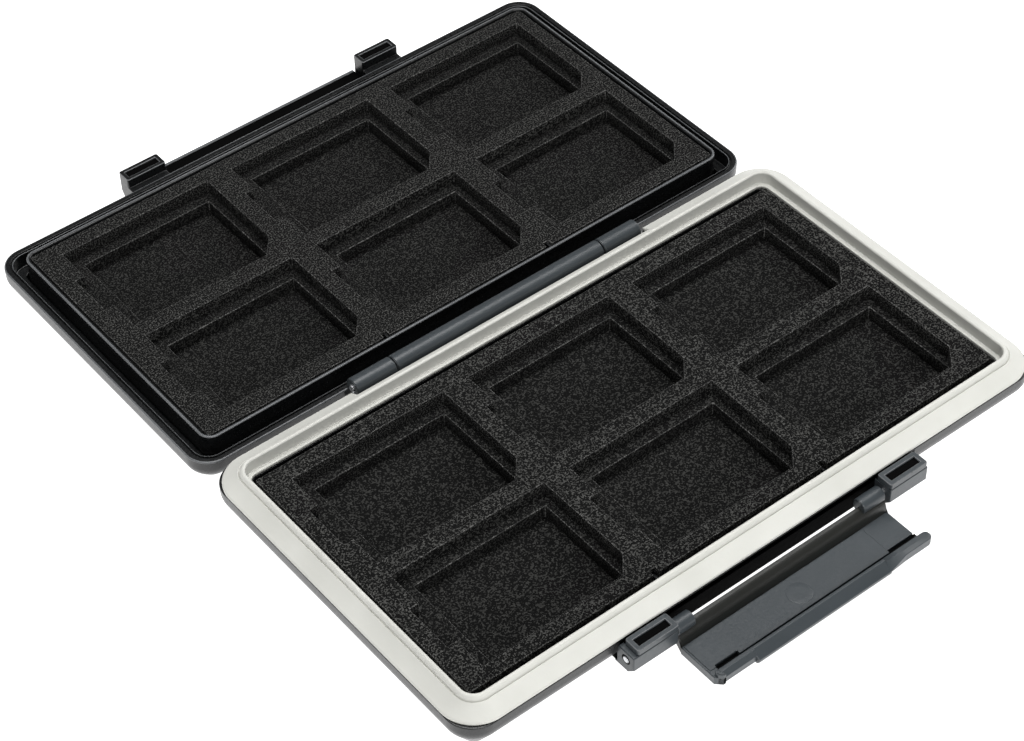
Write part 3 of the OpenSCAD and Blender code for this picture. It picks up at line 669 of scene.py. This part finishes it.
def makeLatchPanel():
    arm = {"Left": 3.8, "Right": 5.1, "in": 0.02, "soft": 0.1}
    root = {"rise": 3.0, "reach": 2.1, "back": 2.6, "in": 0.02, "soft": 0.15}
    slab = {"from": 2.0, "soft": 0.12}
    raised = {"left": -23.3, "right": 17.5, "lip": 9.15, "step": 0.12, "radius": 0.12, "soft": 0.08}
    disc = {"size": 4.7, "x": -0.6, "y": 6.0, "up": 0.17, "ring": 1.2, "soft": 0.08}
    y, z, half, radius, panel, low, end = (
        latch[key] for key in ("y", "z", "half", "radius", "panel", "low", "end"))
    for word, x0, x1 in (("Left", -half, -half + arm["Left"]), ("Right", half - arm["Right"], half)):
        turned(f"latchKnuckle{word}", softEnds(x0, x1, radius), y, z, latchPlastic, "latch",
               40)
        outline = [(y, z), (y - 1, panel + 0.5), (y - 0.9, panel - 0.5), (y + 0.9, z - 1.1)]
        latchBar(f"latchArm{word}", x0 + arm["in"], x1 - arm["in"], outline, arm["soft"])

    # The root falls from the pivot to the panel as a quarter of an ellipse
    turn = np.radians(np.arange(0, 91, 7.5))
    curve = np.column_stack([y - root["reach"] * np.sin(turn), panel + root["rise"] * np.cos(turn)])
    foot = y - root["back"]
    tail = [(foot, panel - 0.05), (foot, low + 0.1), (foot + 0.4, low), (y + 0.2, panel + 0.7),
            (y + 0.2, z - 0.25)]
    radii = [0.05] + [0.02] * len(turn) + [0.1] * (len(tail) - 1)
    # The root takes the darker plastic: painted shade where it falls to the panel
    roundedBar("latchRoot", -half + root["in"], half - root["in"], np.concatenate([curve, tail]), radii,
               root["soft"], rootShadePlastic, "latch")
    outline = rectangle(y - slab["from"], panel, end, low)
    plate = latchBar("latchPanel", -half, half, outline, slab["soft"])
    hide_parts("latch")

    start, lip, far = y - root["reach"] - 0.1, y - raised["lip"], end - 0.4
    left, right = raised["left"], raised["right"]
    notchLeft, notchRight = latch["notch"]
    outline = [(left, start), (right, start), (right, lip), (notchRight, lip), (notchRight, end + 0.05),
               (notchLeft, end + 0.05), (notchLeft, far), (left, far)]
    latchPlate("latchRaised", low + 0.1, panel + raised["step"], outline, raised["radius"], raised["soft"])
    section = openSection([(disc["ring"], panel + disc["up"]), (0, panel + disc["up"]), (0, panel - 0.3)],
                          disc["soft"])
    size = disc["size"]
    anchors, normals, mitres = rectanglePath(size, size, size / 2, y - disc["y"], 12)
    sweepRing("latchDisc", section, (anchors + [disc["x"], 0], normals, mitres), size / 2, latchPlastic,
              "latch", False)


def makeLatchHook():
    bridge = {"down": 0.7, "in": 1.2, "out": 0.6, "under": 1.0, "soft": 0.05}
    strip = {"end": 1.6, "cut": 1.15, "radius": 0.1, "soft": 0.12, "endSoft": 0.15}
    middle = {"half": 15.35, "soft": 0.2}
    half, panel, low, top, end = (latch[key] for key in ("half", "panel", "low", "top", "end"))
    back, face = latch["hookBack"], latch["hookFace"]
    outline = rectangle(back - bridge["under"], low + 0.05, end + 0.2, panel - bridge["down"])
    latchBar("latchBridge", -half + bridge["in"], half + bridge["out"], outline, bridge["soft"],
             shadowPlastic)

    # The hook's left end is narrower than its middle, and cut off at a slant
    far, cut = back - strip["end"], strip["cut"]
    side, notchLeft = -half + cut, latch["notch"][0]
    outline = [(-half, end + 0.2), (-half, far + cut), (side, far), (notchLeft, far), (notchLeft, end + 0.2)]
    latchPlate("latchCorner", low, panel + 0.02, outline, strip["radius"], strip["soft"])
    outline = [(back, low), (back, top), (back - 0.8, top), (far, panel + 0.1), (far, low + 0.5),
               (far + 0.4, low)]
    latchBar("latchHookEnd", side, -middle["half"] + 0.3, outline, strip["endSoft"])
    outline = [(-half + 0.5, back), (-half + 0.5, far + cut - 0.5), (side, far), (side + 0.5, far),
               (side + 0.5, back)]
    latchPlate("latchHookCut", low, top - 0.1, outline, strip["radius"], strip["soft"])
    outline = [(back, low), (back, top), (back - 0.6, top), (face, panel - 0.5), (face, low + 0.6),
               (face + 0.5, low)]
    latchBar("latchHookMiddle", -middle["half"], middle["half"], outline, middle["soft"])

    # The finger tab grows out of the hook's end and closes in a round tip
    tab = {"wide": 2.0, "up": 0.9, "soft": 0.12,  # and each X with how far the tab has closed there
           "closing": ((18.9, 0), (24.3, 0), (24.75, 0.1), (25.05, 0.3), (25.2, 0.65))}
    foot, reach = low + tab["up"], back - tab["wide"]
    first = [(back, foot), (back, top), (back - 0.7, top), (face, panel - 0.5), (face, foot)]
    stations = [(middle["half"] - 0.3, first)]
    for x, inset in tab["closing"]:
        near, far = back - inset, reach + inset
        stations.append((x, [(near, foot), (near, top), (back - 1.0, top), (far, top), (far, foot)]))
    roundedLoft("latchTab", stations, tab["soft"], latchPlastic, "latch")


def makeLatchPins():
    pin = {"past": 1.05, "leftIn": 3.5, "rightIn": 4.8}
    tip = lugs["from"] + lugs["length"] + pin["past"]
    left = latchPin("latchPinLeft", -tip, -latch["half"] + pin["leftIn"])
    right = latchPin("latchPinRight", latch["half"] - pin["rightIn"], tip)
    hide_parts("latch_pin_left")
    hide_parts("latch_pin_right")


def latchPin(name, x0, x1):
    profile = softEnds(x0, x1, latch["pin"], 0.12)
    return turned(name, profile, latch["y"], latch["z"], pinSteel, "base", 24)


# Foam layers: a block of cells between grid lines. The cells inside pockets are
# empty, and a face stands wherever a filled cell meets an empty one.

pocket = {"length": 33, "width": 24.9, "notchOut": 2, "notchLength": 10.2, "notchFrom": 6.9,
          "cornerX": 3.3, "cornerY": 4}
recess = {"length": 28.5, "width": 20.5, "shift": 0.75}
foam = {"pitchX": 38.7, "pitchY": 28.6, "cell": 4.1, "ribSlot": 0.65, "ribDeep": 1.2, "softEdge": 0.14}


def gridLines(marks, step):  # the marks, with even lines between those that lie further apart
    marks = np.unique(np.round(marks, 4))
    spans = [np.linspace(a, b, max(1, math.ceil((b - a) / step)), endpoint=False)
             for a, b in zip(marks, marks[1:])]
    return np.concatenate(spans + [marks[-1:]])


def pocketMarks(x, y):  # where a large pocket needs grid lines
    halfL, halfW = pocket["length"] / 2, pocket["width"] / 2
    notch = y - halfW + pocket["notchFrom"]
    return ([x - halfL - pocket["notchOut"], x - halfL, x + halfL - pocket["cornerX"], x + halfL],
            [y - halfW, y - halfW + pocket["cornerY"], notch, notch + pocket["notchLength"], y + halfW])


def recessMarks(x, y):
    halfL, halfW = recess["length"] / 2, recess["width"] / 2
    return [x + recess["shift"] - halfL, x + recess["shift"] + halfL], [y - halfW, y + halfW]


def inPocket(dx, dy):  # a card's outline with one slanted corner, and a finger notch at its other end
    halfL, halfW = pocket["length"] / 2, pocket["width"] / 2
    inside = (np.abs(dx) < halfL) & (np.abs(dy) < halfW)
    inside &= ~((dx > halfL - pocket["cornerX"]) & (dy < -halfW + pocket["cornerY"]))
    low = -halfW + pocket["notchFrom"]
    notch = (dx < 0) & (dx > -halfL - pocket["notchOut"]) & (dy > low) & (dy < low + pocket["notchLength"])
    return inside | notch


def inRecess(dx, dy):
    return (np.abs(dx - recess["shift"]) < recess["length"] / 2) & (np.abs(dy) < recess["width"] / 2)


def slantCorner(gx, gy, x, y):  # the stair's inner corner moves to the middle of the slanted edge
    stairX = x + pocket["length"] / 2 - pocket["cornerX"]
    stairY = y - pocket["width"] / 2 + pocket["cornerY"]
    stair = (np.abs(gx - stairX) < 1e-3) & (np.abs(gy - stairY) < 1e-3)
    return (np.where(stair, stairX + pocket["cornerX"] / 2, gx),
            np.where(stair, stairY - pocket["cornerY"] / 2, gy))


def foamLayer(name, node, places, kind, body):
    low, high = nodeBox(node)
    slots, ribY = np.array(ribs["places"]), low[1] + foam["ribDeep"]
    marksX = [low[0], high[0], *(slots - foam["ribSlot"]), *(slots + foam["ribSlot"])]
    marksY = [low[1], high[1], ribY]
    marksOf, inside = {"pocket": (pocketMarks, inPocket), "recess": (recessMarks, inRecess),
                       "plain": (None, None)}[kind]
    if marksOf:
        for x, y in places:
            moreX, moreY = marksOf(x, y)
            marksX += moreX
            marksY += moreY
    xs, ys = gridLines(marksX, foam["cell"]), gridLines(marksY, foam["cell"])
    midX, midY = np.meshgrid((xs[1:] + xs[:-1]) / 2, (ys[1:] + ys[:-1]) / 2, indexing="ij")
    gx, gy = np.meshgrid(xs, ys, indexing="ij")
    filled = np.ones(midX.shape, bool)
    for x in slots:
        filled &= ~((np.abs(midX - x) < foam["ribSlot"]) & (midY < ribY))
    if inside:
        for x, y in places:
            filled &= ~inside(midX - x, midY - y)
            if kind == "pocket":
                gx, gy = slantCorner(gx, gy, x, y)
    points, faces = cellBlock(gx, gy, (low[2], high[2]), filled)
    piece = pieceFrom(name, points, faces, foamBlack if kind == "pocket" else foamShade, body)
    # The bevelled cut edges take the lighter foam: a painted highlight
    piece.data.materials.append(foamEdgeHighlight)
    bevel = piece.modifiers.new("softEdges", "BEVEL")
    bevel.width = foam["softEdge"] * mm
    bevel.material = 1
    bevel.segments = 2
    bevel.limit_method = "ANGLE"
    bevel.angle_limit = math.radians(40)
    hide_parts(node)


def cellBlock(gx, gy, heights, filled):
    # Faces between filled and empty cells, found by comparing each cell with its neighbours
    nx, ny = filled.shape
    flat = np.stack([gx, gy], -1).reshape(-1, 2)
    points = np.concatenate([np.column_stack([flat, np.full(len(flat), z)]) for z in heights])
    layer = (nx + 1) * (ny + 1)

    def corner(i, j):
        return i * (ny + 1) + j

    i, j = np.nonzero(filled)
    loop = np.stack([corner(i, j), corner(i + 1, j), corner(i + 1, j + 1), corner(i, j + 1)], -1)
    faces = [loop[:, ::-1], loop + layer]
    solid = np.pad(filled, 1)
    for step, ends in (((1, 0), ((1, 0), (1, 1))), ((-1, 0), ((0, 1), (0, 0))),
                       ((0, 1), ((1, 1), (0, 1))), ((0, -1), ((0, 0), (1, 0)))):
        i, j = np.nonzero(filled & ~solid[1 + step[0]:nx + 1 + step[0], 1 + step[1]:ny + 1 + step[1]])
        a = corner(i + ends[0][0], j + ends[0][1])
        b = corner(i + ends[1][0], j + ends[1][1])
        faces.append(np.stack([a, b, b + layer, a + layer], -1))
    quads = np.concatenate(faces)
    used, quads = np.unique(quads, return_inverse=True)
    return points[used], quads.reshape(-1, 4).tolist()


def makeFoams():
    middles = {"base": (0.6, -0.4), "lid": (1.1, 0.2 + lid["centre"])}  # of the six pockets in each half
    for half, (x, y) in middles.items():
        places = [(x + column * foam["pitchX"], y + row * foam["pitchY"])
                  for column in (-1, 0, 1) for row in (-0.5, 0.5)]
        for part, kind in (("top", "pocket"), ("middle", "recess"), ("floor", "plain")):
            foamLayer(f"{half}Foam{part.capitalize()}", f"{half}_foam_{part}", places, kind, half)


makeBaseTray()
makeSeal()
makeBaseLugs()
makeThickWalls()
makeHinge()
makeLid()
makeLidLugs()
makeLidCatch()
print("shells, seal and hinge made")
makeLatchPanel()
makeLatchHook()
makeLatchPins()
print("latch made")
makeFoams()
print("foam made")


# Table, light and camera

def makeTable():
    size = {"half": 3.0, "down": 0.0001}  # metres, just under the case so that the faces don't meet
    mesh = bpy.data.meshes.new("table")
    half = size["half"]
    corners = [(x, y, -size["down"]) for x, y in rectangle(-half, -half, half, half)]
    mesh.from_pydata(corners, [], [(0, 1, 2, 3)])
    mesh.materials.append(makePaper())
    table = bpy.data.objects.new("table", mesh)
    bpy.context.scene.collection.objects.link(table)


def makeLight(name, place, aim, size, power):
    lamp = bpy.data.lights.new(name, "AREA")
    lamp.shape = "RECTANGLE"
    lamp.size, lamp.size_y = size
    lamp.energy = power
    light = bpy.data.objects.new(name, lamp)
    light.location = place
    light.rotation_euler = (Vector(aim) - Vector(place)).to_track_quat("-Z", "Y").to_euler()
    bpy.context.scene.collection.objects.link(light)


def makeStudio():
    glow = 0.13
    lamps = {  # place, aim and size in metres, and power in watts
        "softboxAbove": ((0.02, 0.12, 1.0), (0, 0.04, 0), (0.8, 0.6), 9.9),
        "softboxFront": ((-0.25, -0.9, 0.42), (0, 0, 0), (0.6, 0.3), 4.4),
        "softboxRight": ((0.8, 0.1, 0.7), (0, 0.04, 0), (0.4, 0.4), 3.4),
    }
    world = bpy.data.worlds.new("studio")
    world.use_nodes = True
    background = world.node_tree.nodes["Background"]
    background.inputs["Color"].default_value = (1, 1, 1, 1)
    background.inputs["Strength"].default_value = glow
    bpy.context.scene.world = world
    for name, (place, aim, size, power) in lamps.items():
        makeLight(name, place, aim, size, power)
    bpy.context.scene.view_settings.view_transform = "Standard"


def makeCamera():
    view = {"place": (-214.46, -244.98, 348.50), "aim": (-3.02, 30.08, 0.0), "roll": -1.578, "lens": 93.46}
    data = bpy.data.cameras.new("camera")
    data.lens = view["lens"]
    data.sensor_width = 36
    data.clip_start = 0.01
    camera = bpy.data.objects.new("camera", data)
    place, aim = Vector(view["place"]) * mm, Vector(view["aim"]) * mm
    look = (aim - place).to_track_quat("-Z", "Y").to_matrix().to_4x4()
    camera.location = place
    camera.rotation_euler = (look @ Matrix.Rotation(math.radians(view["roll"]), 4, "Z")).to_euler()
    bpy.context.scene.collection.objects.link(camera)
    bpy.context.scene.camera = camera


makeTable()
makeStudio()
makeCamera()
print("table, light and camera made")
